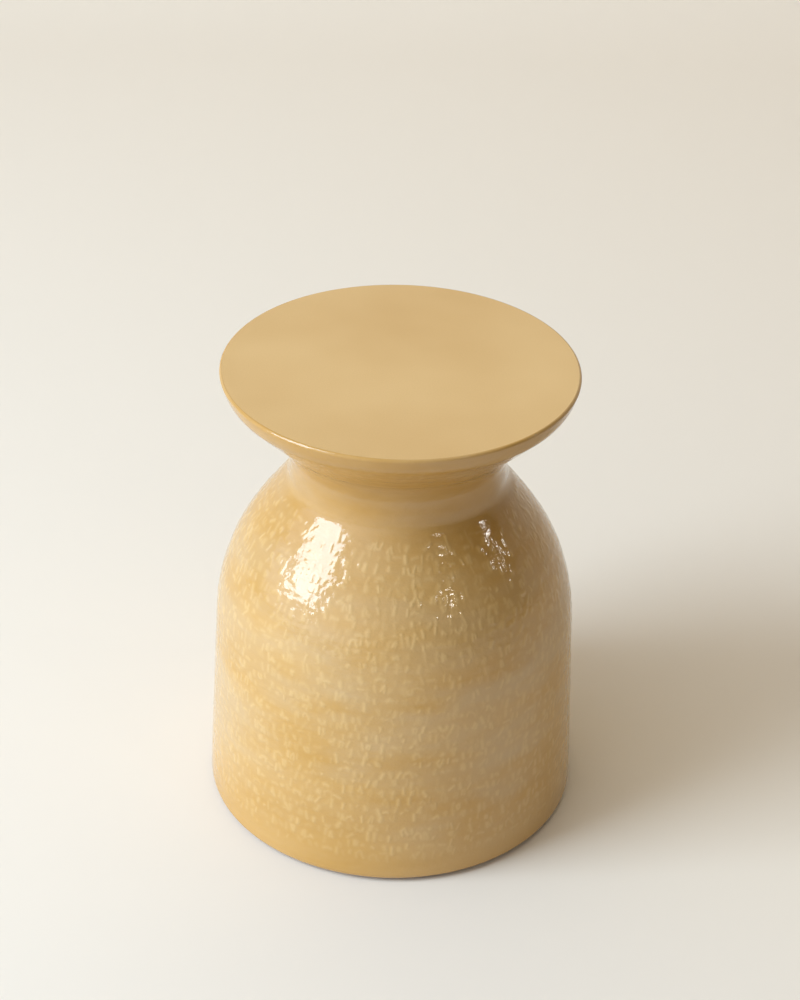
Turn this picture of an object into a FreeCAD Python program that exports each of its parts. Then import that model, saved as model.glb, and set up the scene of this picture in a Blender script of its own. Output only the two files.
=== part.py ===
import FreeCAD, Part
import Sketcher
import math
import os
from collections import namedtuple

# Ceramic garden stool, modelled in millimetres.
# The origin is the middle of the stool's foot, on the floor, and +Z points up.
# Every clay piece is turned about Z. The outside is one line of straight runs
# and rounded corners, which the floor, the two shells and the seat plate share.

SIZES = {
    # Overall
    "stool_height": 460,       # floor to the top of the seat
    "base_radius": 180,        # foot of the drum
    "waist_radius": 102,       # narrowest circle of the neck
    "seat_radius": 166,        # top edge of the seat, before rounding
    # Corners of the outside before rounding, measured down from the seat's top
    "shoulder_drop": 202,      # where the drum's line meets the neck's line
    "drum_taper": 11,          # how much narrower the drum is at that corner
    "flare_drop": 74,          # where the neck meets the seat's flared underside
    "neck_length": 38,         # from there down to the neck's lower corner
    "rim_drop": 16,            # where the flared underside meets the seat's edge
    "rim_inset": 5,            # how far inside the seat's edge that corner lies
    # Roundings of the corners
    "base_round": 7,
    "shoulder_round": 196,
    "neck_round": 28,
    "flare_round": 51,
    "rim_round": 26,
    "seat_round": 2.5,
    # Clay
    "wall": 8,                 # thickness of both shells
    "floor_thickness": 10,
    "floor_step": 3,           # raised middle of the floor, which centres the drum
    "vent_radius": 16,         # kiln vent in the middle of the floor
    "plate_edge": 6,           # thickness of the seat plate at its edge
    "plate_step": 3,           # thicker middle of the plate, which centres the dish
    "spigot_length": 6,        # lip of the upper shell inside the lower one
    "spigot_thickness": 4,
    "coil_size": 11,           # corner coils, from the corner to their round face
    "neck_coil_size": 7,       # half-round coil inside the neck
    "slip_gap": 0.3,           # room for slip between faces that aren't flat
    "step_gap": 1,             # room around the raised middles
    # Felt pads
    "pad_height": 2,
    "pad_radius": 13,
    "pad_pitch": 142,          # from the middle of the stool to that of a pad
}

PAD_COUNT = 4
FIRST_PAD_ANGLE = 45

# Heights, radii and corners that several pieces share, as expressions on the sheet
FLOOR_TOP = "(Sizes.pad_height + Sizes.floor_thickness)"
STEP_TOP = f"({FLOOR_TOP} + Sizes.floor_step)"
PLATE_SEAM = "(Sizes.stool_height - Sizes.plate_edge)"
PLATE_UNDERSIDE = f"({PLATE_SEAM} - Sizes.plate_step)"
BORE_RADIUS = "(Sizes.waist_radius - Sizes.wall)"
REBATE_RADIUS = f"({BORE_RADIUS} + Sizes.spigot_thickness)"
COIL_DEPTH = "(Sizes.wall + Sizes.slip_gap)"

FOOT_CORNER = ("Sizes.base_radius", FLOOR_TOP)
SHOULDER_CORNER = (
    "(Sizes.base_radius - Sizes.drum_taper)",
    "(Sizes.stool_height - Sizes.shoulder_drop)",
)
FLARE_CORNER = ("Sizes.waist_radius", "(Sizes.stool_height - Sizes.flare_drop)")
NECK_CORNER = ("Sizes.waist_radius", f"({FLARE_CORNER[1]} - Sizes.neck_length)")
RIM_CORNER = (
    "(Sizes.seat_radius - Sizes.rim_inset)",
    "(Sizes.stool_height - Sizes.rim_drop)",
)
SEAT_CORNER = ("Sizes.seat_radius", "Sizes.stool_height")


def reach_text(upright, slanted, rounding):
    """How far a rounding reaches along the upright line from its corner."""
    run = f"abs({slanted[0]} - {upright[0]})"
    rise = f"abs({slanted[1]} - {upright[1]})"
    return f"{rounding} * tan(atan({run} / {rise}) / 2)"


# The shells meet halfway up the neck's upright stretch, between its two roundings
NECK_REACH = reach_text(NECK_CORNER, SHOULDER_CORNER, "Sizes.neck_round")
FLARE_REACH = reach_text(FLARE_CORNER, RIM_CORNER, "Sizes.flare_round")
WAIST_SEAM = f"(({NECK_CORNER[1]} + {NECK_REACH} + {FLARE_CORNER[1]} - {FLARE_REACH}) / 2)"
SPIGOT_END = f"({WAIST_SEAM} - Sizes.spigot_length)"
WAIST = ("Sizes.waist_radius", WAIST_SEAM)

doc = FreeCAD.newDocument("GardenStool")
sheet = doc.addObject("Spreadsheet::Sheet", "Sizes")
for row, (alias, number) in enumerate(SIZES.items(), start=1):
    sheet.set(f"A{row}", alias)
    sheet.set(f"B{row}", str(number))
    sheet.setAlias(f"B{row}", alias)
doc.recompute()

# An edge of a sketch. Its start and finish are each an edge number and a vertex number
Edge = namedtuple("Edge", "index start finish")


def value(text):
    """The number that an expression on the sheet gives."""
    return float(sheet.evalExpression(text))


def place(corner):
    """A corner's place in its sketch."""
    return FreeCAD.Vector(value(corner[0]), value(corner[1]), 0)


def origin_plane(body, role):
    """One of the body's own origin planes."""
    for feature in body.Origin.OriginFeatures:
        if feature.Role == role:
            return feature


def blend(before, corner, after, radius):
    """Where a rounding leaves the first line, its centre, and where it meets the next."""
    back = (before - corner).normalize()
    ahead = (after - corner).normalize()
    half_angle = back.getAngle(ahead) / 2
    reach = radius / math.tan(half_angle)
    middle = (back + ahead).normalize()
    centre = corner + middle * (radius / math.sin(half_angle))
    return corner + back * reach, centre, corner + ahead * reach


class Section:
    """A closed half-section. Sketch x is the radius, sketch y the height."""

    # The sketcher's own numbers for its origin, its upright axis and a circle's centre
    ORIGIN = (-1, 1)
    UPRIGHT_AXIS = -2
    LEVEL_AXIS = -1
    CENTRE = 3

    def __init__(self, body, role="XZ_Plane"):
        self.body = body
        self.sketch = body.newObject("Sketcher::SketchObject", f"{body.Name}_section")
        self.sketch.AttachmentSupport = (origin_plane(body, role), [""])
        self.sketch.MapMode = "FlatFace"

    def rule(self, *terms):
        """A constraint without a size."""
        self.sketch.addConstraint(Sketcher.Constraint(*terms))

    def bind(self, kind, *terms):
        """A constraint whose last term is an expression on the sheet."""
        *geometry, text = terms
        constraint = Sketcher.Constraint(kind, *geometry, value(text))
        index = self.sketch.addConstraint(constraint)
        self.sketch.setExpression(f"Constraints[{index}]", text)

    def pin(self, end, radius=None, height=None):
        """Sets the radius or the height of an edge's end, or both."""
        if radius is not None:
            self.bind("DistanceX", *self.ORIGIN, *end, radius)
        if height is not None:
            self.bind("DistanceY", *self.ORIGIN, *end, height)

    def where(self, end):
        """Where an edge's end is now."""
        return self.sketch.getPoint(*end)

    def line(self, start, finish, construction=False):
        index = self.sketch.addGeometry(Part.LineSegment(start, finish), construction)
        return Edge(index, (index, 1), (index, 2))

    def arc(self, start, centre, finish):
        """An arc under half a turn, whichever way round it runs."""
        circle = Part.Circle(centre, FreeCAD.Vector(0, 0, 1), (start - centre).Length)
        first = math.atan2(start.y - centre.y, start.x - centre.x)
        last = math.atan2(finish.y - centre.y, finish.x - centre.x)
        if (last - first) % (2 * math.pi) < math.pi:
            index = self.sketch.addGeometry(Part.ArcOfCircle(circle, first, last))
            return Edge(index, (index, 1), (index, 2))
        index = self.sketch.addGeometry(Part.ArcOfCircle(circle, last, first))
        return Edge(index, (index, 2), (index, 1))

    def corner_point(self, corner):
        """A construction point at a corner, for lines to run through."""
        index = self.sketch.addGeometry(Part.Point(place(corner)), True)
        self.pin((index, 1), *corner)
        return (index, 1)

    def join(self, end, other):
        self.rule("Coincident", *end, *other)

    def smooth(self, first, second):
        """The first edge runs into the second with one tangent."""
        self.rule("Tangent", *first.finish, *second.start)

    def through(self, line, *points):
        """The line, made longer if need be, holds the points."""
        for point in points:
            self.rule("PointOnObject", *point, line.index)

    def bridge(self, end, other):
        """A straight edge between two ends."""
        edge = self.line(self.where(end), self.where(other))
        self.join(end, edge.start)
        self.join(edge.finish, other)

    def step(self, end, other, radius):
        """Level to a radius, upright there, and level again to the other end."""
        low = FreeCAD.Vector(value(radius), self.where(end).y, 0)
        high = FreeCAD.Vector(value(radius), self.where(other).y, 0)
        leaving = self.line(self.where(end), low)
        upright = self.line(low, high)
        arriving = self.line(high, self.where(other))
        self.join(end, leaving.start)
        self.join(leaving.finish, upright.start)
        self.join(upright.finish, arriving.start)
        self.join(arriving.finish, other)
        self.rule("Horizontal", leaving.index)
        self.rule("Vertical", upright.index)
        self.rule("Horizontal", arriving.index)
        self.pin(upright.start, radius=radius)

    def revolve(self):
        """Turns the half-section once around the stool's axis."""
        turn = self.body.newObject("PartDesign::Revolution", f"{self.body.Name}_turn")
        turn.Profile = self.sketch
        turn.ReferenceAxis = (self.sketch, ["V_Axis"])
        turn.Angle = 360


def draw_outside(section, corners, roundings, top):
    """The outside of a shell, upwards: lines through the corners, rounded where they meet."""
    places = [place(corner) for corner in corners]
    points = [section.corner_point(corner) for corner in corners]
    blends = []
    for number, rounding in enumerate(roundings):
        before, corner, after = places[number:number + 3]
        blends.append(blend(before, corner, after, value(rounding)))
    starts = [places[0]] + [leave for meet, centre, leave in blends]
    finishes = [meet for meet, centre, leave in blends] + [places[-1]]
    lines = [section.line(*ends) for ends in zip(starts, finishes)]
    for line, low, high in zip(lines, points, points[1:]):
        section.through(line, low, high)
    arcs = [section.arc(*ends) for ends in blends]
    for arc, before, after, rounding in zip(arcs, lines, lines[1:], roundings):
        section.smooth(before, arc)
        section.smooth(arc, after)
        section.bind("Radius", arc.index, rounding)
    section.pin(lines[0].start, height=corners[0][1])
    section.pin(lines[-1].finish, height=top)
    return lines, arcs


def draw_inside(section, lines, arcs, radii, bottom, top, upright_end):
    """The inside of a shell, upwards, one wall within the outside.

    It ends in a line, or in its last rounding where another piece's lip follows.
    """
    inner_arcs = []
    for arc, radius in zip(arcs, radii):
        centre = section.where((arc.index, section.CENTRE))
        start = section.where(arc.start) - centre
        finish = section.where(arc.finish) - centre
        ratio = value(radius) / start.Length
        inner = section.arc(centre + start * ratio, centre, centre + finish * ratio)
        section.join((inner.index, section.CENTRE), (arc.index, section.CENTRE))
        section.bind("Radius", inner.index, radius)
        inner_arcs.append(inner)
    lowest = section.where(inner_arcs[0].start)
    foot = section.line(FreeCAD.Vector(lowest.x, value(bottom), 0), lowest)
    section.rule("Parallel", foot.index, lines[0].index)
    section.pin(foot.start, height=bottom)
    section.smooth(foot, inner_arcs[0])
    for below, above in zip(inner_arcs, inner_arcs[1:]):
        between = section.line(section.where(below.finish), section.where(above.start))
        section.smooth(below, between)
        section.smooth(between, above)
    last = inner_arcs[-1]
    if upright_end:
        highest = section.where(last.finish)
        head = section.line(highest, FreeCAD.Vector(highest.x, value(top), 0))
        section.smooth(last, head)
        section.rule("Parallel", head.index, lines[-1].index)
        last = head
    section.pin(last.finish, height=top)
    return foot.start, last.finish


def make_body(name):
    """An empty body whose label names the piece."""
    body = doc.addObject("PartDesign::Body", name)
    body.Label = name
    return body


def make_seat_plate():
    """The slab that is sat on, thicker in the middle, where it drops into the dish."""
    body = make_body("seat_plate")
    section = Section(body)
    seat_corner = place(SEAT_CORNER)
    middle_top = FreeCAD.Vector(0, seat_corner.y, 0)
    middle_low = FreeCAD.Vector(0, value(PLATE_UNDERSIDE), 0)
    down_the_rim = place(RIM_CORNER) - seat_corner
    seam = seat_corner + down_the_rim * value("Sizes.plate_edge / Sizes.rim_drop")
    meet, centre, leave = blend(middle_top, seat_corner, seam, value("Sizes.seat_round"))
    top = section.line(middle_top, meet)
    rounding = section.arc(meet, centre, leave)
    side = section.line(leave, seam)
    axis = section.line(middle_low, middle_top)
    section.rule("PointOnObject", *top.start, section.UPRIGHT_AXIS)
    section.pin(top.start, height=SEAT_CORNER[1])
    section.rule("Horizontal", top.index)
    section.smooth(top, rounding)
    section.smooth(rounding, side)
    section.bind("Radius", rounding.index, "Sizes.seat_round")
    section.through(side, section.corner_point(SEAT_CORNER), section.corner_point(RIM_CORNER))
    section.pin(side.finish, height=PLATE_SEAM)
    section.join(axis.finish, top.start)
    section.rule("PointOnObject", *axis.start, section.UPRIGHT_AXIS)
    section.pin(axis.start, height=PLATE_UNDERSIDE)
    section.step(side.finish, axis.start, f"{RIM_CORNER[0]} - Sizes.wall - Sizes.step_gap")
    section.revolve()
    return body


def make_seat_shell():
    """The dish under the seat and the upper half of the neck, with a lip at its foot."""
    body = make_body("seat_shell")
    section = Section(body)
    corners = (WAIST, FLARE_CORNER, RIM_CORNER, SEAT_CORNER)
    roundings = ("Sizes.flare_round", "Sizes.rim_round")
    inner_radii = ("Sizes.flare_round + Sizes.wall",)
    lines, arcs = draw_outside(section, corners, roundings, PLATE_SEAM)
    # Inside, the flare runs straight up to the plate, so the rim is a little thinner
    flare_lines = lines[:2]
    flare_arcs = arcs[:1]
    low, high = draw_inside(
        section, flare_lines, flare_arcs, inner_radii, SPIGOT_END, PLATE_SEAM, True
    )
    section.bridge(lines[-1].finish, high)
    section.step(low, lines[0].start, f"{REBATE_RADIUS} - Sizes.slip_gap")
    section.revolve()
    return body


def make_body_shell():
    """The drum, the domed shoulder and the lower half of the neck, rebated for the lip."""
    body = make_body("body_shell")
    section = Section(body)
    corners = (FOOT_CORNER, SHOULDER_CORNER, NECK_CORNER, WAIST)
    roundings = ("Sizes.shoulder_round", "Sizes.neck_round")
    inner_radii = ("Sizes.shoulder_round - Sizes.wall", "Sizes.neck_round + Sizes.wall")
    lines, arcs = draw_outside(section, corners, roundings, WAIST_SEAM)
    low, high = draw_inside(section, lines, arcs, inner_radii, FLOOR_TOP, SPIGOT_END, False)
    section.step(lines[-1].finish, high, REBATE_RADIUS)
    section.bridge(low, lines[0].start)
    section.revolve()
    return body


def make_base_floor():
    """The slab under the drum, with a raised middle that centres it and the kiln vent."""
    body = make_body("base_floor")
    section = Section(body)
    vent_low = place(("Sizes.vent_radius", "Sizes.pad_height"))
    vent_high = place(("Sizes.vent_radius", STEP_TOP))
    foot_low = place(("Sizes.base_radius", "Sizes.pad_height"))
    foot_high = place(FOOT_CORNER)
    meet, centre, leave = blend(vent_low, foot_low, foot_high, value("Sizes.base_round"))
    underside = section.line(vent_low, meet)
    rounding = section.arc(meet, centre, leave)
    side = section.line(leave, foot_high)
    vent = section.line(vent_high, vent_low)
    section.pin(underside.start, "Sizes.vent_radius", "Sizes.pad_height")
    section.rule("Horizontal", underside.index)
    section.smooth(underside, rounding)
    section.smooth(rounding, side)
    section.bind("Radius", rounding.index, "Sizes.base_round")
    section.rule("Vertical", side.index)
    section.pin(side.finish, *FOOT_CORNER)
    section.join(vent.finish, underside.start)
    section.rule("Vertical", vent.index)
    section.pin(vent.start, height=STEP_TOP)
    section.step(side.finish, vent.start, "Sizes.base_radius - Sizes.wall - Sizes.step_gap")
    section.revolve()
    return body


def make_corner_coil(name, face_height, wall_low, wall_high, upwards):
    """A coil of clay in the corner of a level face and a shell's wall.

    Its section is a wedge of a circle about the corner. wall_low and wall_high are
    the corners of the outside that the wall runs between.
    """
    body = make_body(name)
    section = Section(body)
    low = place(wall_low)
    along = (place(wall_high) - low).normalize()
    inwards = FreeCAD.Vector(-along.y, along.x, 0)
    wall_point = low + inwards * value(COIL_DEPTH)
    apex = wall_point + along * ((value(face_height) - wall_point.y) / along.y)
    size = value("Sizes.coil_size")
    level_end = apex - FreeCAD.Vector(size, 0, 0)
    wall_end = apex + along * (size if upwards else -size)
    outside = section.line(low, place(wall_high), construction=True)
    level = section.line(apex, level_end)
    back = section.line(apex, wall_end)
    face = section.arc(level_end, apex, wall_end)
    section.pin(outside.start, *wall_low)
    section.pin(outside.finish, *wall_high)
    section.rule("Horizontal", level.index)
    section.pin(level.start, height=face_height)
    section.join(level.start, back.start)
    section.rule("Parallel", back.index, outside.index)
    section.bind("Distance", *back.start, outside.index, COIL_DEPTH)
    section.join((face.index, section.CENTRE), level.start)
    section.join(level.finish, face.start)
    section.join(back.finish, face.finish)
    section.bind("Radius", face.index, "Sizes.coil_size")
    section.revolve()
    return body


def make_neck_coil():
    """A half-round coil inside the neck, over the seam of lip and rebate."""
    body = make_body("neck_joint_coil")
    section = Section(body)
    middle = (f"({BORE_RADIUS} - Sizes.slip_gap)", SPIGOT_END)
    size = value("Sizes.neck_coil_size")
    up = FreeCAD.Vector(0, size, 0)
    crown = place(middle) - FreeCAD.Vector(size, 0, 0)
    back = section.line(place(middle) - up, place(middle) + up)
    arc = Part.Arc(place(middle) + up, crown, place(middle) - up)
    index = section.sketch.addGeometry(arc)
    section.pin((index, section.CENTRE), *middle)
    section.bind("Radius", index, "Sizes.neck_coil_size")
    section.join((index, 1), back.finish)
    section.join((index, 2), back.start)
    section.rule("Vertical", back.index)
    section.through(back, (index, section.CENTRE))
    section.revolve()
    return body


def make_floor_pad(name, angle):
    """A felt disc under the floor."""
    body = make_body(name)
    section = Section(body, "XY_Plane")
    centre = FreeCAD.Vector(value("Sizes.pad_pitch"), 0, 0)
    circle = Part.Circle(centre, FreeCAD.Vector(0, 0, 1), value("Sizes.pad_radius"))
    index = section.sketch.addGeometry(circle)
    section.pin((index, section.CENTRE), radius="Sizes.pad_pitch")
    section.rule("PointOnObject", index, section.CENTRE, section.LEVEL_AXIS)
    section.bind("Radius", index, "Sizes.pad_radius")
    pad = body.newObject("PartDesign::Pad", f"{name}_pad")
    pad.Profile = section.sketch
    pad.setExpression("Length", "Sizes.pad_height")
    turn = FreeCAD.Rotation(FreeCAD.Vector(0, 0, 1), angle)
    body.Placement = FreeCAD.Placement(FreeCAD.Vector(0, 0, 0), turn)
    return body


def make_pieces():
    pieces = [make_seat_plate(), make_seat_shell(), make_body_shell(), make_base_floor()]
    pieces.append(
        make_corner_coil("seat_joint_coil", PLATE_UNDERSIDE, FLARE_CORNER, RIM_CORNER, False)
    )
    pieces.append(make_neck_coil())
    pieces.append(
        make_corner_coil("base_joint_coil", STEP_TOP, FOOT_CORNER, SHOULDER_CORNER, True)
    )
    for number in range(PAD_COUNT):
        angle = FIRST_PAD_ANGLE + number * 360 / PAD_COUNT
        pieces.append(make_floor_pad(f"floor_pad_{number + 1}", angle))
    return pieces


def check_document(pieces):
    """Stops if an object failed or a piece has no sound shape."""
    for item in doc.Objects:
        if "Invalid" in item.State or "Error" in item.State:
            raise RuntimeError(f"{item.Label} failed: {item.State}")
    for piece in pieces:
        if piece.Shape.isNull() or not piece.Shape.isValid():
            raise RuntimeError(f"{piece.Label} has no valid shape")


def write_pieces(pieces):
    os.makedirs("parts", exist_ok=True)
    for piece in pieces:
        piece.Shape.exportStep(f"parts/{piece.Label}.step")
        box = piece.Shape.optimalBoundingBox(False, False)
        print(
            f"{piece.Label}: {len(piece.Shape.Solids)} solid, {piece.Shape.Volume:.0f} mm3,"
            f" x {box.XMin:.2f} to {box.XMax:.2f}, z {box.ZMin:.2f} to {box.ZMax:.2f}"
        )


stool_pieces = make_pieces()
doc.recompute()
check_document(stool_pieces)
write_pieces(stool_pieces)
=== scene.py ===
import math

import bpy
import numpy as np
from mathutils import Matrix, Vector


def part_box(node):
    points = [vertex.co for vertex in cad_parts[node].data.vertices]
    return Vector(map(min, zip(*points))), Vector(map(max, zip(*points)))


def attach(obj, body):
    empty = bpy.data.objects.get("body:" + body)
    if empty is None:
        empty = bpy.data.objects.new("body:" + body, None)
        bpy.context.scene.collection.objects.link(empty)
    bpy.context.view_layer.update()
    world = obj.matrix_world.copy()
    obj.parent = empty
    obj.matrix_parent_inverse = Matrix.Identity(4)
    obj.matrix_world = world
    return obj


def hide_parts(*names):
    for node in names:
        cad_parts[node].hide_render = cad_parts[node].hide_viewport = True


# Ceramic garden stool: a glazed drum with a domed shoulder, a narrow neck and a flared
# dish that carries a flat matte seat. Everything is in metres, in the part's own frame:
# the origin is the middle of the foot, on the floor, and +Z points up.

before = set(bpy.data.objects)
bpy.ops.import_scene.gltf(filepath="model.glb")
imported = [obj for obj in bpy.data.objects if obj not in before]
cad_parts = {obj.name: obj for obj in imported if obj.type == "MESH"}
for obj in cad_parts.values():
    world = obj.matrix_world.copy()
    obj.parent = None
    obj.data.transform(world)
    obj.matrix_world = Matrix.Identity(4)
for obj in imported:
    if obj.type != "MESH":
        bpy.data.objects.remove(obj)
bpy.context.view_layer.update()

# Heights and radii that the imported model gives
PAD_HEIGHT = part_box("base_floor")[0].z
STEP_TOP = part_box("base_floor")[1].z
FLOOR_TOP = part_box("body_shell")[0].z
WAIST_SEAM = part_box("body_shell")[1].z
SPIGOT_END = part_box("seat_shell")[0].z
PLATE_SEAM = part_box("seat_shell")[1].z
PLATE_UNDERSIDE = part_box("seat_plate")[0].z
SEAT_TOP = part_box("seat_plate")[1].z
BASE_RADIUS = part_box("base_floor")[1].x

# Driving sizes of the outside, with its corners measured down from the seat's top
WAIST_RADIUS = 0.102
SEAT_RADIUS = 0.166
SHOULDER_DROP = 0.202
DRUM_TAPER = 0.011
FLARE_DROP = 0.074
NECK_LENGTH = 0.038
RIM_DROP = 0.016
RIM_INSET = 0.005
BASE_ROUND = 0.007
SHOULDER_ROUND = 0.196
NECK_ROUND = 0.028
FLARE_ROUND = 0.051
RIM_ROUND = 0.026
SEAT_ROUND = 0.0025

# Clay
WALL = 0.008
SPIGOT_THICKNESS = 0.004
SLIP_GAP = 0.0003
STEP_GAP = 0.001
VENT_RADIUS = 0.016

# Mesh: distance between points along the outside, and columns around it
RELIEF_STEP = 0.001
PLAIN_STEP = 0.004
BODY_COLUMNS = 1200
DISH_COLUMNS = 960
PLAIN_COLUMNS = 240

# Raised marks in the glaze
MARK_SEED = 11
MARK_HEIGHT = 0.00032
MARK_ROW_PITCH = 0.0104
MARK_COLUMN_PITCH = 0.0080
MARK_TALL = 0.0062
MARK_STROKE = 0.0021
MARK_WOBBLE = 0.0006
MARK_FADE = 0.015
MARK_LEFT_OUT = 0.08
MARK_SHIFT_ACROSS = 0.26
MARK_SHIFT_UP = 0.16
MARK_LEAN = 0.12
MARK_SIZES = (0.6, 1.3)
MARK_WIDTHS = (0.65, 1.35)
MARK_POWERS = (0.25, 1)
ROW_STEPS = (0.85, 1.15)

# How far from the ends of each surface its marks keep, and how strong the dish's are
BODY_MARKS_FROM_FOOT = 0.010
BODY_MARKS_FROM_WAIST = 0.016
DISH_MARKS_FROM_WAIST = 0.060
DISH_MARKS_FROM_RIM = 0.004
DISH_MARKS_STRENGTH = 0.35

# The potter's rings, and the length over which all relief dies away at a seam
THROWING_HEIGHT = 0.00012
RING_SPACINGS = (0.041, 0.023, 0.013, 0.0075)
BODY_RING_SEED = 5
DISH_RING_SEED = 8
SEAM_FADE = 0.006

# Where the glossy glaze stops: above the foot's underside, and on the seat's edge
GLAZE_LINE = 0.001
MATTE_EDGE_ROWS = 4


def corner(radius, height, rounding=0.0):
    """A corner of a half-section, with the radius of its rounding."""
    return (Vector((radius, height)), rounding)


def blend(before, at, after, rounding):
    """Points of a rounding, from the line it leaves to the line it meets."""
    back = (before - at).normalized()
    ahead = (after - at).normalized()
    half_angle = back.angle(ahead) / 2
    centre = at + (back + ahead).normalized() * (rounding / math.sin(half_angle))
    reach = rounding / math.tan(half_angle)
    start = at + back * reach - centre
    finish = at + ahead * reach - centre
    first = math.atan2(start.y, start.x)
    turn = math.remainder(math.atan2(finish.y, finish.x) - first, 2 * math.pi)
    count = max(4, math.ceil(abs(turn) / math.radians(1.5)))
    angles = [first + turn * number / count for number in range(count + 1)]
    return [centre + Vector((math.cos(a), math.sin(a))) * rounding for a in angles]


def rounded_line(corners):
    """A line through the corners of a half-section, rounded where they ask for it."""
    points = [corners[0][0]]
    for number in range(1, len(corners) - 1):
        at, rounding = corners[number]
        if rounding:
            points += blend(corners[number - 1][0], at, corners[number + 1][0], rounding)
        else:
            points.append(at)
    points.append(corners[-1][0])
    return np.array(points)


def distances(line):
    """How far along the line each of its points lies."""
    return np.r_[0, np.cumsum(np.hypot(*np.diff(line, axis=0).T))]


def respaced(line, step):
    """The same line with even steps."""
    along = distances(line)
    even = np.linspace(0, along[-1], max(2, round(along[-1] / step)) + 1)
    return np.stack([np.interp(even, along, line[:, axis]) for axis in (0, 1)], 1)


def outward(line):
    """Unit normals of an upward line, away from the axis."""
    ahead = np.gradient(line, axis=0)
    ahead /= np.hypot(*ahead.T)[:, None]
    return np.stack([ahead[:, 1], -ahead[:, 0]], 1)


def inner_wall(line, low, high):
    """The inside of a shell, one wall within an upward line, cut at two heights."""
    inside = respaced(line, PLAIN_STEP)
    inside = inside - outward(inside) * WALL
    heights = np.clip(inside[:, 1], low, high)
    last = inside[-1] - inside[-2]
    if inside[-1, 1] < high:
        inside = np.vstack([inside, inside[-1] + last * (high - inside[-1, 1]) / last[1]])
        heights = np.append(heights, high)
    if inside[0, 1] > low:
        inside = np.vstack([[inside[0, 0], low], inside])
        heights = np.append(low, heights)
    keep = np.r_[True, np.diff(heights) > 0]
    radii = np.interp(heights, inside[:, 1], inside[:, 0])
    return np.stack([radii, heights], 1)[keep]


def turned(name, section, columns, swell=None, sharp_rows=()):
    """A closed mesh: the closed half-section turned about the axis.

    swell holds, for its first rows, how far each column stands out along the normal.
    """
    rows = len(section)
    angles = np.arange(columns) * (2 * math.pi / columns)
    radius = np.repeat(section[:, :1], columns, 1)
    height = np.repeat(section[:, 1:], columns, 1)
    if swell is not None:
        count = len(swell)
        normals = outward(section[:count])
        radius[:count] += swell * normals[:, :1]
        height[:count] += swell * normals[:, 1:]
    points = np.stack([radius * np.cos(angles), radius * np.sin(angles), height], -1)
    index = np.arange(rows * columns).reshape(rows, columns)
    on_axis = section[:, 0] < 1e-9
    index[on_axis] = index[on_axis][:, :1]
    low = index
    high = np.roll(index, -1, 0)
    quads = np.stack([low, np.roll(low, -1, 1), np.roll(high, -1, 1), high], -1)
    kept = ~(on_axis & np.roll(on_axis, -1))
    quads = quads[kept]
    row_of = np.repeat(np.arange(rows)[kept], columns)
    quads = quads.reshape(-1, 4)
    used, quads = np.unique(quads, return_inverse=True)
    quads = quads.reshape(-1, 4)
    mesh = bpy.data.meshes.new(name)
    faces = [
        [a, b, c] if c == d else ([a, c, d] if a == b else [a, b, c, d])
        for a, b, c, d in quads.tolist()
    ]
    mesh.from_pydata(points.reshape(-1, 3)[used], [], faces)
    mesh.shade_smooth()
    piece = bpy.data.objects.new(name, mesh)
    bpy.context.scene.collection.objects.link(piece)
    row_of_face = mesh.attributes.new("row", "INT", "FACE")
    row_of_face.data.foreach_set("value", row_of.astype(np.int32))
    mark_sharp(mesh, used // columns, sharp_rows)
    return piece


def mark_sharp(mesh, row_of_vertex, sharp_rows):
    """Edges that run round the piece along these rows of the section stay crisp."""
    ends = np.zeros(len(mesh.edges) * 2, np.int32)
    mesh.edges.foreach_get("vertices", ends)
    rows = row_of_vertex[ends.reshape(-1, 2)]
    sharp = (rows[:, 0] == rows[:, 1]) & np.isin(rows[:, 0], list(sharp_rows))
    mesh.attributes.new("sharp_edge", "BOOLEAN", "EDGE").data.foreach_set("value", sharp)


def strokes(kind):
    """The strokes of a raised mark, as points in a box one wide and one tall."""
    bow = [(math.cos(a) / 2, math.sin(a)) for a in np.linspace(0, math.pi, 7)]
    if kind == "dash":
        return [(0, -0.5), (0, 0.5)]
    if kind == "dot":
        return [(0, -0.1), (0.05, 0.1)]
    if kind == "block":
        return [(-0.14, -0.35), (-0.14, 0.35), (0.14, 0.35), (0.14, -0.35)]
    if kind == "slant":
        return [(-0.25, -0.5), (0.25, 0.4)]
    if kind == "arch":
        return [(x, y - 0.5) for x, y in bow]
    if kind == "cup":
        return [(x, 0.4 - y * 0.8) for x, y in bow]
    return [(-0.45, 0.0), (0.0, 0.08), (0.45, -0.04)]


MARK_KINDS = ("dash", "dot", "block", "slant", "arch", "cup", "bar")
MARK_SHARES = (0.31, 0.18, 0.25, 0.08, 0.04, 0.04, 0.10)


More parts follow.
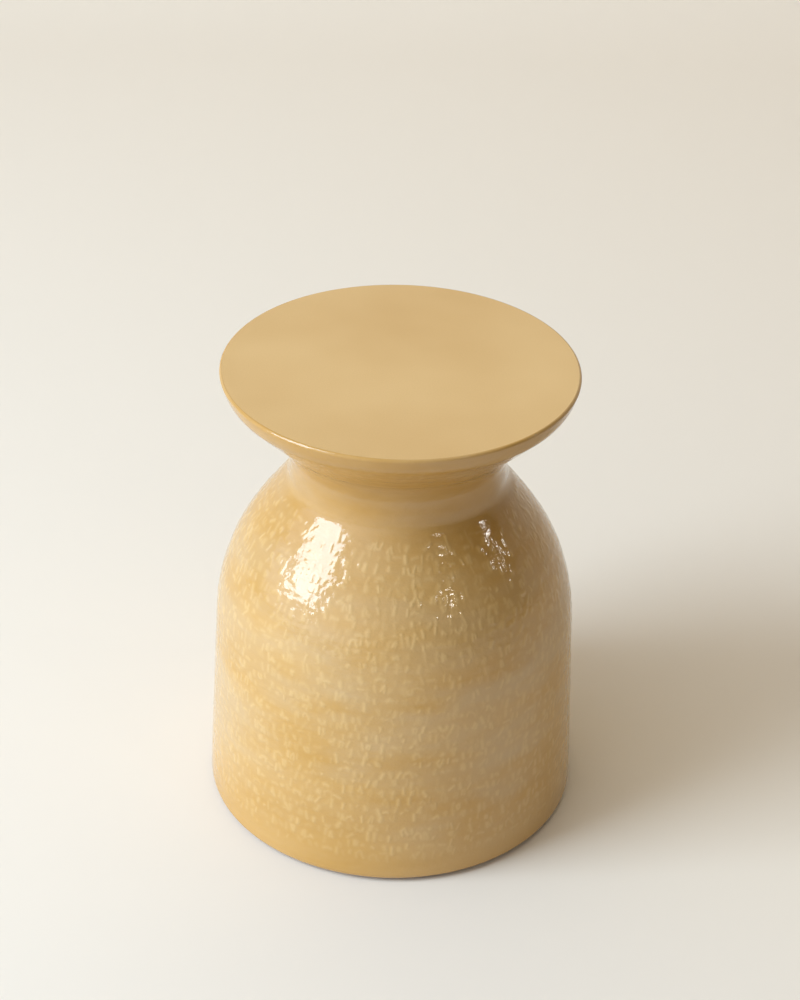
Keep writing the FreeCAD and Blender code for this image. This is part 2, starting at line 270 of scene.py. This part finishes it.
def stroke_field(line, columns, low, high, strength):
    """Height of the raised marks, from 0 to 1, on every row and column of a surface."""
    random = np.random.default_rng(MARK_SEED)
    along = distances(line)
    field = np.zeros((len(line), columns), np.float32)
    row_height = low
    while row_height < high:
        radius = np.interp(row_height, along, line[:, 0])
        places = round(2 * math.pi * radius / MARK_COLUMN_PITCH)
        shift = random.random()
        for number in range(places):
            if random.random() < MARK_LEFT_OUT:
                continue
            place = number + shift + random.normal(0, MARK_SHIFT_ACROSS)
            angle = place * 2 * math.pi / places
            middle = row_height + random.normal(0, MARK_SHIFT_UP) * MARK_ROW_PITCH
            kind = random.choice(MARK_KINDS, p=MARK_SHARES)
            tall = MARK_TALL * random.uniform(*MARK_SIZES)
            wide = MARK_TALL * random.uniform(*MARK_SIZES)
            lean = random.normal(0, MARK_LEAN)
            width = MARK_STROKE * random.uniform(*MARK_WIDTHS)
            fade = min(1, (middle - low) / MARK_FADE, (high - middle) / MARK_FADE)
            power = random.uniform(*MARK_POWERS) * max(0.0, fade) * strength
            points = np.array(strokes(kind)) * (wide, tall)
            points = points @ np.array([[1, 0], [lean, 1]])
            points = points + random.normal(0, MARK_WOBBLE, points.shape)
            add_mark(field, line, along, points, angle, middle, width, power)
        row_height += MARK_ROW_PITCH * random.uniform(*ROW_STEPS)
    return field


def add_mark(field, line, along, points, angle, middle, width, power):
    """Raises one mark's strokes on the surface around its middle."""
    rows, columns = field.shape
    reach = np.abs(points).max() + 2.5 * width
    first = np.searchsorted(along, middle - reach)
    last = np.searchsorted(along, middle + reach)
    if last - first < 2:
        return
    radius = np.interp(middle, along, line[:, 0])
    half = math.ceil(reach / radius * columns / (2 * math.pi))
    centre = angle / (2 * math.pi) * columns
    numbers = np.arange(math.floor(centre) - half, math.floor(centre) + half + 1)
    across = (numbers - centre) * (2 * math.pi / columns) * radius
    up = along[first:last] - middle
    grid = np.stack(np.meshgrid(across, up), -1)
    nearest = np.full(grid.shape[:2], 1.0)
    for start, finish in zip(points, points[1:]):
        run = finish - start
        share = np.clip(((grid - start) @ run) / (run @ run), 0, 1)
        gap = grid - start - share[..., None] * run
        nearest = np.minimum(nearest, np.hypot(gap[..., 0], gap[..., 1]))
    raised = power * np.exp(-((nearest / width) ** 2) * 1.4)
    block = np.ix_(np.arange(first, last), numbers % columns)
    field[block] = np.maximum(field[block], raised)


def throwing(line, columns, seed):
    """Low uneven rings that the potter's hand leaves, from -1 to 1."""
    random = np.random.default_rng(seed)
    along = distances(line)[:, None]
    angles = np.arange(columns) * (2 * math.pi / columns)
    rings = np.zeros((len(line), columns))
    for wave in RING_SPACINGS:
        phase = random.uniform(0, 2 * math.pi)
        drift = random.uniform(0.3, 0.8) * np.sin(angles + random.uniform(0, 2 * math.pi))
        size = (wave / RING_SPACINGS[0]) ** 0.6
        rings += np.sin(2 * math.pi * along / wave + phase + drift) * size
    return rings / 2


def relief(surface, columns, ring_seed, low, high, strength):
    """The marks of a glazed surface, and how far it stands out with them and the rings."""
    marks = stroke_field(surface, columns, low, high, strength)
    rings = throwing(surface, columns, ring_seed) * THROWING_HEIGHT
    along = distances(surface)
    ends = np.minimum(along, along[-1] - along) / SEAM_FADE
    return marks, (rings + marks * MARK_HEIGHT) * np.clip(ends, 0, 1)[:, None]


def add_field(piece, name, field, rows, columns):
    """Stores a value for each point of the first rows of a turned piece."""
    values = np.zeros(len(piece.data.vertices), np.float32)
    values[: rows * columns] = field.reshape(-1)
    piece.data.attributes.new(name, "FLOAT", "POINT").data.foreach_set("value", values)


SHOULDER = corner(BASE_RADIUS - DRUM_TAPER, SEAT_TOP - SHOULDER_DROP, SHOULDER_ROUND)
NECK = corner(WAIST_RADIUS, SEAT_TOP - FLARE_DROP - NECK_LENGTH, NECK_ROUND)
FLARE = corner(WAIST_RADIUS, SEAT_TOP - FLARE_DROP, FLARE_ROUND)
RIM = corner(SEAT_RADIUS - RIM_INSET, SEAT_TOP - RIM_DROP, RIM_ROUND)
SEAT_EDGE = corner(SEAT_RADIUS, SEAT_TOP, SEAT_ROUND)
WAIST = corner(WAIST_RADIUS, WAIST_SEAM)


def cut_line(line, height):
    """An upward line up to a height."""
    end = np.interp(height, line[:, 1], line[:, 0])
    return np.vstack([line[line[:, 1] < height - 1e-6], [end, height]])


def make_body():
    """The drum, the shoulder and the lower half of the neck."""
    outside = rounded_line([corner(BASE_RADIUS, FLOOR_TOP), SHOULDER, NECK, WAIST])
    surface = respaced(outside, RELIEF_STEP)
    high = distances(surface)[-1] - BODY_MARKS_FROM_WAIST
    marks, swell = relief(
        surface, BODY_COLUMNS, BODY_RING_SEED, BODY_MARKS_FROM_FOOT, high, 1.0
    )
    inside = inner_wall(outside, FLOOR_TOP, SPIGOT_END)
    rebate = WAIST_RADIUS - WALL + SPIGOT_THICKNESS
    lip = [[rebate, WAIST_SEAM], [rebate, SPIGOT_END]]
    section = np.vstack([surface, lip, inside[::-1]])
    rows = len(surface)
    crisp = [0, rows - 1, rows, rows + 1, rows + 2, len(section) - 1]
    piece = turned("drum", section, BODY_COLUMNS, swell, crisp)
    add_field(piece, "mark", marks, rows, BODY_COLUMNS)
    return piece


def make_dish():
    """The upper half of the neck and the flared dish under the seat."""
    outside = rounded_line([WAIST, FLARE, RIM, (SEAT_EDGE[0], 0.0)])
    outside = cut_line(outside, PLATE_SEAM)
    surface = respaced(outside, RELIEF_STEP)
    high = distances(surface)[-1] - DISH_MARKS_FROM_RIM
    marks, swell = relief(
        surface, DISH_COLUMNS, DISH_RING_SEED, DISH_MARKS_FROM_WAIST, high, DISH_MARKS_STRENGTH
    )
    flare = rounded_line([WAIST, FLARE, (RIM[0], 0.0)])
    inside = inner_wall(flare, WAIST_SEAM, PLATE_SEAM)
    lip_radius = WAIST_RADIUS - WALL + SPIGOT_THICKNESS - SLIP_GAP
    bore = WAIST_RADIUS - WALL
    lip = [[bore, SPIGOT_END], [lip_radius, SPIGOT_END], [lip_radius, WAIST_SEAM]]
    section = np.vstack([surface, inside[::-1], lip])
    rows = len(surface)
    count = len(section)
    crisp = [0, rows - 1, rows, count - 1, count - 2, count - 3]
    piece = turned("dish", section, DISH_COLUMNS, swell, crisp)
    add_field(piece, "mark", marks, rows, DISH_COLUMNS)
    return piece


def make_seat():
    """The flat seat: a matte top, a rounded edge and a glossy side."""
    slope = (SEAT_EDGE[0] - RIM[0]) / (SEAT_EDGE[0].y - RIM[0].y)
    seam = SEAT_EDGE[0] + slope * (PLATE_SEAM - SEAT_TOP)
    side = rounded_line([(seam, 0.0), SEAT_EDGE, corner(0, SEAT_TOP)])[:-1]
    top = np.linspace(side[-1, 0], 0, 40)[1:]
    step = RIM[0].x - WALL - STEP_GAP
    below = [[0, PLATE_UNDERSIDE], [step, PLATE_UNDERSIDE], [step, PLATE_SEAM]]
    section = np.vstack([side, np.stack([top, np.full(len(top), SEAT_TOP)], 1), below])
    rows = len(side)
    count = len(section)
    piece = turned("seat", section, PLAIN_COLUMNS * 2, None, [0, count - 2, count - 1])
    piece["top_row"] = rows - MATTE_EDGE_ROWS
    return piece


def make_foot():
    """The floor of the drum: glazed on its outer edge, bare underneath."""
    low = corner(VENT_RADIUS, PAD_HEIGHT)
    edge = rounded_line(
        [low, corner(BASE_RADIUS, PAD_HEIGHT, BASE_ROUND), corner(BASE_RADIUS, FLOOR_TOP)]
    )
    step = BASE_RADIUS - WALL - STEP_GAP
    above = [[step, FLOOR_TOP], [step, STEP_TOP], [VENT_RADIUS, STEP_TOP]]
    section = np.vstack([edge, above])
    count = len(section)
    piece = turned("foot", section, PLAIN_COLUMNS * 2, None, [0, *range(count - 4, count)])
    return piece


class Shader:
    """A material's node tree, with short calls for its nodes and links."""

    def __init__(self, name):
        self.material = bpy.data.materials.new(name)
        self.material.use_nodes = True
        self.tree = self.material.node_tree
        self.surface = self.tree.nodes["Principled BSDF"]

    def node(self, kind, **settings):
        made = self.tree.nodes.new(f"ShaderNode{kind}")
        for key, value in settings.items():
            setattr(made, key, value)
        return made

    def feed(self, source, node, name):
        """Links a socket, or sets a plain value, on a node's input."""
        if isinstance(source, bpy.types.NodeSocket):
            self.tree.links.new(source, node.inputs[name])
        else:
            node.inputs[name].default_value = source

    def noise(self, stretch, scale, detail=3.0, rough=0.5):
        """Noise in the part's own frame, squeezed or stretched along each axis."""
        place = self.node("TexCoord")
        mapping = self.node("Mapping")
        mapping.inputs["Scale"].default_value = stretch
        self.feed(place.outputs["Object"], mapping, "Vector")
        noise = self.node("TexNoise")
        self.feed(mapping.outputs["Vector"], noise, "Vector")
        noise.inputs["Scale"].default_value = scale
        noise.inputs["Detail"].default_value = detail
        noise.inputs["Roughness"].default_value = rough
        return noise.outputs["Fac"]

    def span(self, source, low, high, to_low=0.0, to_high=1.0):
        """Maps a range of a value to another range, and holds it there."""
        made = self.node("MapRange")
        self.feed(source, made, "Value")
        for name, value in zip(
            ("From Min", "From Max", "To Min", "To Max"), (low, high, to_low, to_high)
        ):
            made.inputs[name].default_value = value
        return made.outputs["Result"]

    def maths(self, operation, first, second):
        made = self.node("Math", operation=operation)
        self.feed(first, made, 0)
        self.feed(second, made, 1)
        return made.outputs[0]

    def mix(self, share, first, second):
        """Mixes two colours."""
        made = self.node("Mix", data_type="RGBA")
        self.feed(share, made, 0)
        self.feed(first, made, 6)
        self.feed(second, made, 7)
        return made.outputs[2]

    def attribute(self, name):
        return self.node("Attribute", attribute_name=name).outputs["Fac"]

    def bump(self, height, distance, strength, normal=None):
        made = self.node("Bump")
        self.feed(height, made, "Height")
        made.inputs["Distance"].default_value = distance
        made.inputs["Strength"].default_value = strength
        if normal is not None:
            self.feed(normal, made, "Normal")
        return made.outputs["Normal"]


# Colours, as linear red, green and blue
OCHRE = (0.515, 0.288, 0.068, 1)
# Deep ochre, partly glaze colour and partly painted shade on the upper shoulder and neck under
# the dish
DEEP_OCHRE_AND_SHADE = (0.400, 0.205, 0.040, 1)
CREAM_OCHRE = (0.590, 0.372, 0.142, 1)
GREY_CREAM = (0.545, 0.376, 0.190, 1)
MARK_CREAM = (0.720, 0.505, 0.225, 1)
MATTE_OCHRE = (0.565, 0.352, 0.136, 1)
MATTE_PALE = (0.640, 0.425, 0.186, 1)
CLAY_BUFF = (0.52, 0.40, 0.27, 1)
CLAY_DARK = (0.40, 0.29, 0.19, 1)
FELT_BROWN = (0.050, 0.038, 0.030, 1)
FELT_WORN = (0.095, 0.075, 0.060, 1)
STUDIO_CREAM = (0.775, 0.715, 0.630, 1)

# Heights between which the glaze turns deep towards the neck, which is partly painted shade under
# the dish, and pale above the foot
DEEP_GLAZE_AND_SHADE_HEIGHTS = (0.21, 0.34)
PALE_GLAZE_HEIGHTS = (0.03, 0.11)
GLAZE_WANDER = 0.035

# The most that each second colour takes of the glossy glaze
BAND_SHARE = 0.70
GREY_SHARE = 0.75
DEEP_AND_SHADE_SHARE = 0.42
BLOTCH_SHARE = 0.16
MARK_SHARE = 0.38
GLAZE_IOR = 1.56


def glossy_glaze():
    """Ochre glaze: deeper on the neck and at the foot, greyer and paler between; the deeper neck
    is partly painted shade under the dish.
    """
    shader = Shader("gloss_glaze")
    bands = shader.span(shader.noise((1, 1, 4), 5.0, 3.0), 0.34, 0.68)
    clouds = shader.span(shader.noise((1, 1, 3), 9.0, 4.0), 0.38, 0.64)
    blotches = shader.span(shader.noise((1, 1, 1.6), 42.0, 5.0, 0.6), 0.35, 0.70)
    wander = shader.span(shader.noise((1, 1, 2), 7.0, 3.0), 0.3, 0.7, -GLAZE_WANDER, GLAZE_WANDER)
    place = shader.node("SeparateXYZ")
    shader.feed(shader.node("TexCoord").outputs["Object"], place, "Vector")
    height = shader.maths("ADD", place.outputs["Z"], wander)
    # Painted shade in part: the colour deepens towards the neck, under the dish
    deep_and_shade = shader.span(height, *DEEP_GLAZE_AND_SHADE_HEIGHTS)
    pale = shader.span(height, *PALE_GLAZE_HEIGHTS)
    colour = shader.mix(shader.maths("MULTIPLY", bands, BAND_SHARE), OCHRE, CREAM_OCHRE)
    greyed = shader.maths("MULTIPLY", pale, shader.span(clouds, 0, 1, 0.0, GREY_SHARE))
    colour = shader.mix(greyed, colour, GREY_CREAM)
    # Mixes in the deep ochre, partly painted shade under the dish
    colour = shader.mix(shader.maths("MULTIPLY", deep_and_shade, DEEP_AND_SHADE_SHARE), colour, DEEP_OCHRE_AND_SHADE)
    colour = shader.mix(shader.maths("MULTIPLY", blotches, BLOTCH_SHARE), colour, CREAM_OCHRE)
    marks = shader.maths("MULTIPLY", shader.attribute("mark"), MARK_SHARE)
    colour = shader.mix(marks, colour, MARK_CREAM)
    shader.feed(colour, shader.surface, "Base Color")
    rough = shader.span(blotches, 0, 1, 0.06, 0.12)
    shader.feed(rough, shader.surface, "Roughness")
    shader.feed(GLAZE_IOR, shader.surface, "IOR")
    pits = shader.noise((1, 1, 1), 340.0, 2.0)
    waves = shader.noise((1, 1, 1.5), 95.0, 3.0)
    normal = shader.bump(waves, 0.0012, 0.30)
    normal = shader.bump(pits, 0.0004, 0.25, normal)
    shader.feed(normal, shader.surface, "Normal")
    return shader.material


def matte_glaze():
    """Smooth matte glaze of the seat, with faint clouds and a fine grain."""
    shader = Shader("matte_glaze")
    clouds = shader.span(shader.noise((1, 1, 1), 5.0, 3.0), 0.35, 0.65)
    grain = shader.span(shader.noise((1, 1, 1), 900.0, 2.0), 0.3, 0.7, 0.96, 1.04)
    colour = shader.mix(clouds, MATTE_OCHRE, MATTE_PALE)
    tone = shader.node("HueSaturation")
    shader.feed(colour, tone, "Color")
    shader.feed(grain, tone, "Value")
    shader.feed(tone.outputs["Color"], shader.surface, "Base Color")
    rough = shader.span(clouds, 0, 1, 0.52, 0.60)
    shader.feed(rough, shader.surface, "Roughness")
    shader.feed(shader.bump(shader.noise((1, 1, 1), 700.0, 3.0), 0.0002, 0.3),
                shader.surface, "Normal")
    return shader.material


def bare_clay():
    """Unglazed buff stoneware with grog."""
    shader = Shader("bare_clay")
    body = shader.span(shader.noise((1, 1, 1), 60.0, 5.0, 0.6), 0.3, 0.7)
    grog = shader.span(shader.noise((1, 1, 1), 900.0, 2.0), 0.60, 0.68)
    colour = shader.mix(body, CLAY_BUFF, CLAY_DARK)
    colour = shader.mix(shader.maths("MULTIPLY", grog, 0.5), colour, CLAY_DARK)
    shader.feed(colour, shader.surface, "Base Color")
    shader.feed(shader.span(body, 0, 1, 0.80, 0.92), shader.surface, "Roughness")
    shader.feed(shader.bump(grog, 0.0004, 0.4), shader.surface, "Normal")
    return shader.material


def felt():
    """Pressed wool felt."""
    shader = Shader("felt")
    fibres = shader.span(shader.noise((1, 1, 3), 1600.0, 4.0, 0.7), 0.3, 0.7)
    shader.feed(shader.mix(fibres, FELT_BROWN, FELT_WORN), shader.surface, "Base Color")
    shader.feed(shader.span(fibres, 0, 1, 0.88, 0.98), shader.surface, "Roughness")
    shader.feed(shader.bump(fibres, 0.0004, 0.6), shader.surface, "Normal")
    return shader.material


def place_pieces():
    """Builds the visible pieces, gives them their glazes and ties them to the frame."""
    gloss = glossy_glaze()
    matte = matte_glaze()
    clay = bare_clay()
    wool = felt()
    drum = make_body()
    dish = make_dish()
    seat = make_seat()
    foot = make_foot()
    for piece in (drum, dish):
        piece.data.materials.append(gloss)
    seat.data.materials.append(gloss)
    seat.data.materials.append(matte)
    set_material_by_row(seat, lambda row: row >= seat["top_row"])
    foot.data.materials.append(clay)
    foot.data.materials.append(gloss)
    set_material_by_height(foot, PAD_HEIGHT + GLAZE_LINE, FLOOR_TOP)
    for piece, node, slot in (
        (drum, "body_shell", "gloss_glaze"),
        (dish, "seat_shell", "gloss_glaze"),
        (seat, "seat_plate", "matte_glaze"),
        (foot, "base_floor", "bare_clay"),
    ):
        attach(piece, "root")
        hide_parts(node)
    for name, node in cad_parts.items():
        if name.startswith("floor_pad"):
            dress(node, wool)
        elif name.endswith("coil"):
            dress(node, clay)


def set_material_by_row(piece, is_second):
    """Gives the second material to the faces whose row asks for it."""
    rows = np.zeros(len(piece.data.polygons), np.int32)
    piece.data.attributes["row"].data.foreach_get("value", rows)
    chosen = is_second(rows).astype(np.int32)
    piece.data.polygons.foreach_set("material_index", chosen)


def set_material_by_height(piece, low, high):
    """Gives the second material to the outer faces between two heights."""
    for face in piece.data.polygons:
        outer = face.center.xy.length > BASE_RADIUS - WALL / 2
        face.material_index = int(outer and low < face.center.z < high)


def dress(node, material):
    """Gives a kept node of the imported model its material."""
    node.data.materials.clear()
    node.data.materials.append(material)


# Camera, where the photograph was taken from
CAMERA_DISTANCE = 1.8926
CAMERA_HEIGHT = 1.5111
CAMERA_TILT = math.radians(32.26)
CAMERA_TURN = math.radians(0.08)
CAMERA_ROLL = math.radians(1.57)
FOCAL_LENGTH = 85.43
SENSOR = 36


def make_camera():
    """A camera in front of the stool, above it and looking down."""
    ahead = Vector((
        math.sin(CAMERA_TURN) * math.cos(CAMERA_TILT),
        math.cos(CAMERA_TURN) * math.cos(CAMERA_TILT),
        -math.sin(CAMERA_TILT),
    ))
    level = Vector((math.cos(CAMERA_TURN), -math.sin(CAMERA_TURN), 0))
    upright = level.cross(ahead)
    right = level * math.cos(CAMERA_ROLL) + upright * math.sin(CAMERA_ROLL)
    up = right.cross(ahead)
    data = bpy.data.cameras.new("camera")
    data.lens = FOCAL_LENGTH
    data.sensor_width = SENSOR
    data.clip_start = 0.05
    data.clip_end = 50
    camera = bpy.data.objects.new("camera", data)
    bpy.context.scene.collection.objects.link(camera)
    axes = Matrix((right, up, -ahead)).transposed().to_4x4()
    camera.matrix_world = Matrix.Translation((0, -CAMERA_DISTANCE, CAMERA_HEIGHT)) @ axes
    bpy.context.scene.camera = camera


# Studio
SWEEP_HALF_WIDTH = 30.0
SWEEP_FRONT = -30.0
SWEEP_BACK = 1.9
SWEEP_ROUND = 1.2
SWEEP_HEIGHT = 4.0
AIM_SHARE = 0.6
KEY_DISTANCE = 3.8
KEY_AZIMUTH = math.radians(-68)
KEY_ELEVATION = math.radians(34)
KEY_WIDTH = 1.83
KEY_HEIGHT = 2.9
KEY_POWER = 162
KEY_COLOUR = (0.75, 0.91, 1.08)
TOP_HEIGHT = 5.0
TOP_SIZE = 6.0
TOP_SHIFT = (0.5, 1.8)
TOP_POWER = 109
TOP_COLOUR = (1.0, 0.85, 0.56)
GLINT_DISTANCE = 2.6
GLINT_WIDTH = 0.14
GLINT_HEIGHT = 0.10
GLINT_POWER = 1.6
GLINT_COLOUR = (1.0, 0.96, 0.90)

# Where the small sources stand, as azimuth and elevation
GLINT_PLACES = (
    (math.radians(40), math.radians(27)),
    (math.radians(88), math.radians(21)),
)

# The room's own glow: the side it comes from, and its red, green and blue
ROOM_GLOWS = (
    ((-1.0, 0.0, 0.15), (0.62, 0.76, 1.10)),
    ((-1.0, -1.0, 0.15), (1.25, 1.18, 1.08)),
)


def make_sweep():
    """A pale floor that curves up into a backdrop."""
    turns = np.linspace(0, math.pi / 2, 25)
    curve = [
        (SWEEP_BACK + SWEEP_ROUND * math.sin(a), SWEEP_ROUND * (1 - math.cos(a)))
        for a in turns
    ]
    outline = [(SWEEP_FRONT, 0.0), *curve, (SWEEP_BACK + SWEEP_ROUND, SWEEP_HEIGHT)]
    points = []
    for y, z in outline:
        points.append((-SWEEP_HALF_WIDTH, y, z))
        points.append((SWEEP_HALF_WIDTH, y, z))
    faces = [(2 * i, 2 * i + 1, 2 * i + 3, 2 * i + 2) for i in range(len(outline) - 1)]
    mesh = bpy.data.meshes.new("sweep")
    mesh.from_pydata(points, [], faces)
    mesh.shade_smooth()
    sweep = bpy.data.objects.new("sweep", mesh)
    bpy.context.scene.collection.objects.link(sweep)
    shader = Shader("studio_paper")
    shader.feed(STUDIO_CREAM, shader.surface, "Base Color")
    shader.feed(0.75, shader.surface, "Roughness")
    mesh.materials.append(shader.material)


def make_softbox(name, azimuth, elevation, distance, width, height, power, colour):
    """A rectangular light that faces the stool. Azimuth 0 is the camera's side."""
    data = bpy.data.lights.new(name, "AREA")
    data.shape = "RECTANGLE"
    data.size = width
    data.size_y = height
    data.energy = power
    data.color = colour
    light = bpy.data.objects.new(name, data)
    bpy.context.scene.collection.objects.link(light)
    towards = Vector((
        math.sin(azimuth) * math.cos(elevation),
        -math.cos(azimuth) * math.cos(elevation),
        math.sin(elevation),
    ))
    target = Vector((0, 0, SEAT_TOP * AIM_SHARE))
    light.location = target + towards * distance
    light.rotation_mode = "QUATERNION"
    light.rotation_quaternion = (-towards).to_track_quat("-Z", "Y")


def make_lights():
    """A window-like softbox on the left, two small sources and a warm ceiling."""
    make_softbox("window", KEY_AZIMUTH, KEY_ELEVATION, KEY_DISTANCE,
                 KEY_WIDTH, KEY_HEIGHT, KEY_POWER, KEY_COLOUR)
    for azimuth, elevation in GLINT_PLACES:
        make_softbox("glint", azimuth, elevation, GLINT_DISTANCE,
                     GLINT_WIDTH, GLINT_HEIGHT, GLINT_POWER, GLINT_COLOUR)
    data = bpy.data.lights.new("ceiling", "AREA")
    data.size = TOP_SIZE
    data.energy = TOP_POWER
    data.color = TOP_COLOUR
    ceiling = bpy.data.objects.new("ceiling", data)
    ceiling.location = (*TOP_SHIFT, TOP_HEIGHT)
    bpy.context.scene.collection.objects.link(ceiling)
    bpy.context.scene.view_settings.view_transform = "Standard"
    bpy.context.scene.view_settings.look = "None"


def make_room():
    """Soft light from the room: cool from the left, warmer from the front left."""
    world = bpy.data.worlds.new("room")
    world.use_nodes = True
    bpy.context.scene.world = world
    tree = world.node_tree

    def vector(operation, first, second):
        made = tree.nodes.new("ShaderNodeVectorMath")
        made.operation = operation
        tree.links.new(first, made.inputs[0])
        if isinstance(second, bpy.types.NodeSocket):
            tree.links.new(second, made.inputs[1])
        else:
            made.inputs[1].default_value = second
        return made

    def maths(operation, first, second):
        made = tree.nodes.new("ShaderNodeMath")
        made.operation = operation
        tree.links.new(first, made.inputs[0])
        made.inputs[1].default_value = second
        return made.outputs[0]

    direction = tree.nodes.new("ShaderNodeTexCoord").outputs["Generated"]
    glows = []
    for towards, colour in ROOM_GLOWS:
        facing = vector("DOT_PRODUCT", direction, Vector(towards).normalized())
        share = maths("POWER", maths("MAXIMUM", facing.outputs["Value"], 0), 2)
        glow = tree.nodes.new("ShaderNodeVectorMath")
        glow.operation = "SCALE"
        glow.inputs[0].default_value = colour
        tree.links.new(share, glow.inputs["Scale"])
        glows.append(glow.outputs[0])
    total = vector("ADD", *glows).outputs[0]
    tree.links.new(total, tree.nodes["Background"].inputs["Color"])


place_pieces()
make_sweep()
make_lights()
make_room()
make_camera()
